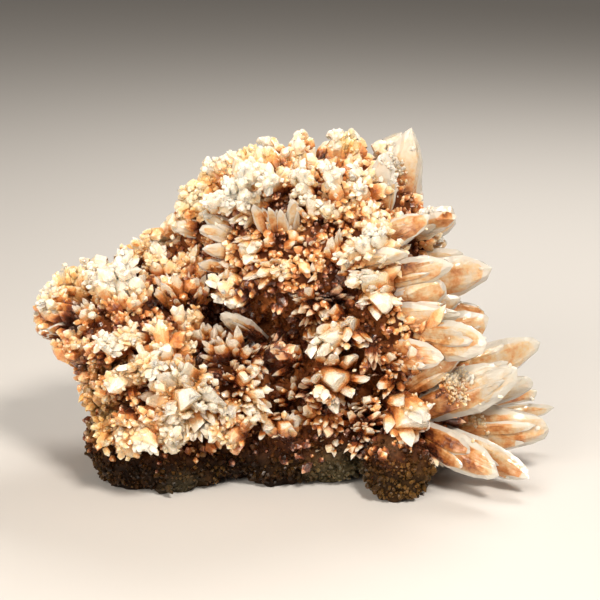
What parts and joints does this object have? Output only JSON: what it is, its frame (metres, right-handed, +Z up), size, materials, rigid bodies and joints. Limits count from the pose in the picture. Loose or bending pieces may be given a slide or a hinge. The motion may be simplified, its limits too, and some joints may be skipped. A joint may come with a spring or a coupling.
{
  "type": "calcite cluster",
  "caption": "Natural cluster of pointed, translucent cream and orange calcite crystals grown over a brown matrix, standing on flat spots.",
  "frame": {"origin": "the middle of the specimen's footprint, on the surface that it rests on", "axes": "+X to the viewer's right along the longest side, +Y away from the viewer, +Z up"},
  "size_m": [0.132, 0.0884, 0.085],
  "materials": {
    "calcite": "natural translucent calcite, glassy to frosted, white to cream with orange and rust staining, on dark brown matrix"
  },
  "bodies": {
    "root": {"calcite_cluster": "calcite"}
  },
  "joints": []
}
